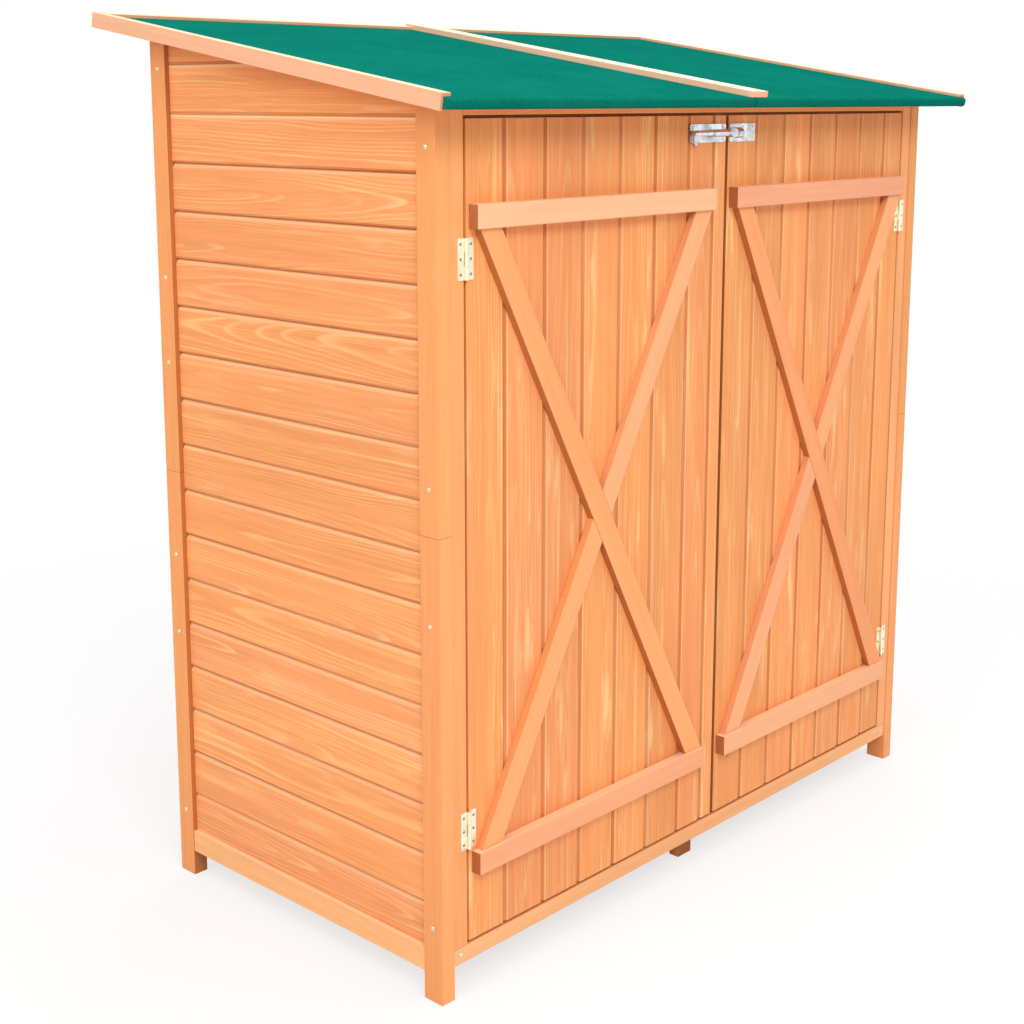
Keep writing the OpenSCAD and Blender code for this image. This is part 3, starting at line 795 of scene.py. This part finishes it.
for side, way in (("left", -1), ("right", 1)):
    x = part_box(f"{side}_back_post_lower")[0 if way < 0 else 1].x
    spots = [Vector((x, BACK_POST_SCREWS_Y * MM, z * MM)) for z in BACK_POST_SCREWS_Z]
    spots += [Vector((x, FRONT_POST_SCREWS_Y * MM, z * MM)) for z in FRONT_POST_SCREWS_Z]
    screws(f"{side}_post_screws", POST_SCREW, spots, X * way, "frame")
sill_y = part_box("front_sill")[0].y
spots = spots_at(SILL_SCREWS_X, sill_y, SILL_SCREWS_Z)
screws("sill_screws", POST_SCREW, spots, -Y, "frame")
leaf_y = sill_y - LEAF_THICKNESS * MM
spots = spots_at((-FRAME_LEAF_X, FRAME_LEAF_X), leaf_y, HINGE_SCREWS_Z)
screws("frame_hinge_screws", SMALL_SCREW, spots, -Y, "frame", HINGE_SCREW)
for side, way in (("left", -1), ("right", 1)):
    spots = spots_at((way * DOOR_LEAF_X,), leaf_y, HINGE_SCREWS_Z)
    screws(f"{side}_door_hinge_screws", SMALL_SCREW, spots, -Y, f"{side}_door", HINGE_SCREW)
plate_y = sill_y - PLATE_THICKNESS * MM
spots = spots_at(PLATE_SCREWS_X, plate_y, PLATE_SCREWS_Z)
screws("bolt_plate_screws", SMALL_SCREW, spots, -Y, "left_door")
spots = spots_at(KEEPER_SCREWS_X, plate_y, KEEPER_SCREWS_Z)
screws("keeper_screws", SMALL_SCREW, spots, -Y, "right_door")


# Stage, light and camera

WHITE = (1, 1, 1, 1)
FLOOR_WHITE = (0.88, 0.88, 0.88, 1)
FLOOR_HALF = 30


def white_floor():
    """A floor that looks white from a little way off and takes a soft shadow near the part."""
    bm = bmesh.new()
    bmesh.ops.create_grid(bm, x_segments=1, y_segments=1, size=FLOOR_HALF)
    mesh = bpy.data.meshes.new("floor")
    bm.to_mesh(mesh)
    bm.free()
    made, tree, shader = material("white_floor")
    shader.inputs["Base Color"].default_value = FLOOR_WHITE
    shader.inputs["Roughness"].default_value = 0.9
    shader.inputs["Specular IOR Level"].default_value = 0.0
    glow = place(tree, "ShaderNodeEmission", {"Color": WHITE, "Strength": 1.0})
    rays = place(tree, "ShaderNodeLightPath").outputs
    away = vec(tree, "LENGTH", place(tree, "ShaderNodeTexCoord").outputs["Object"])
    seen = calc(tree, "MAXIMUM", rays["Is Camera Ray"], rays["Is Glossy Ray"])
    white = calc(tree, "MULTIPLY", seen, spread(tree, away, low=0.7, high=2.8, new_low=0.72))
    mixed = place(tree, "ShaderNodeMixShader", {0: white, 1: shader.outputs[0], 2: glow.outputs[0]})
    tree.links.new(mixed.outputs[0], tree.nodes["Material Output"].inputs[0])
    mesh.materials.append(made)
    floor = bpy.data.objects.new("floor", mesh)
    bpy.context.scene.collection.objects.link(floor)


def white_world(level):
    """A white surround that gives less light than it shows."""
    world = bpy.data.worlds.new("studio")
    bpy.context.scene.world = world
    world.use_nodes = True
    tree = world.node_tree
    rays = place(tree, "ShaderNodeLightPath").outputs
    seen = calc(tree, "MAXIMUM", rays["Is Camera Ray"], rays["Is Glossy Ray"])
    seen = calc(tree, "MAXIMUM", seen, rays["Is Transmission Ray"])
    strength = spread(tree, seen, 0.0, 1.0, level, 1.0, "LINEAR")
    tree.links.new(strength, tree.nodes["Background"].inputs["Strength"])
    tree.nodes["Background"].inputs["Color"].default_value = WHITE


def softbox(name, spot, target, size, power):
    lamp = bpy.data.lights.new(name, "AREA")
    lamp.shape = "SQUARE"
    lamp.size = size
    lamp.energy = power
    made = bpy.data.objects.new(name, lamp)
    made.location = spot
    aim = Vector(target) - Vector(spot)
    made.rotation_euler = aim.to_track_quat("-Z", "Y").to_euler()
    bpy.context.scene.collection.objects.link(made)


white_floor()
white_world(level=0.46)
softbox("key_light", (-2.6, -4.0, 4.4), (0, 0, 0.8), size=2.2, power=160)
softbox("side_light", (-4.2, -0.4, 3.3), (0, 0, 0.7), size=2.4, power=76)
softbox("top_light", (0.6, -0.6, 5.0), (0, 0, 0.8), size=3.0, power=102)
softbox("fill_light", (4.2, 2.6, 3.2), (0, 0, 0.8), size=3.0, power=60)

CAMERA_SPOT = (-2.389, -2.090, 1.448)
CAMERA_DOWN = 10.48
CAMERA_HEADING = -46.94
lens = bpy.data.cameras.new("camera")
lens.lens = 57.15
lens.shift_y = -0.11
eye = bpy.data.objects.new("camera", lens)
eye.location = CAMERA_SPOT
eye.rotation_euler = (math.radians(90 - CAMERA_DOWN), 0, math.radians(CAMERA_HEADING))
bpy.context.scene.collection.objects.link(eye)
bpy.context.scene.camera = eye
bpy.context.scene.view_settings.view_transform = "Standard"
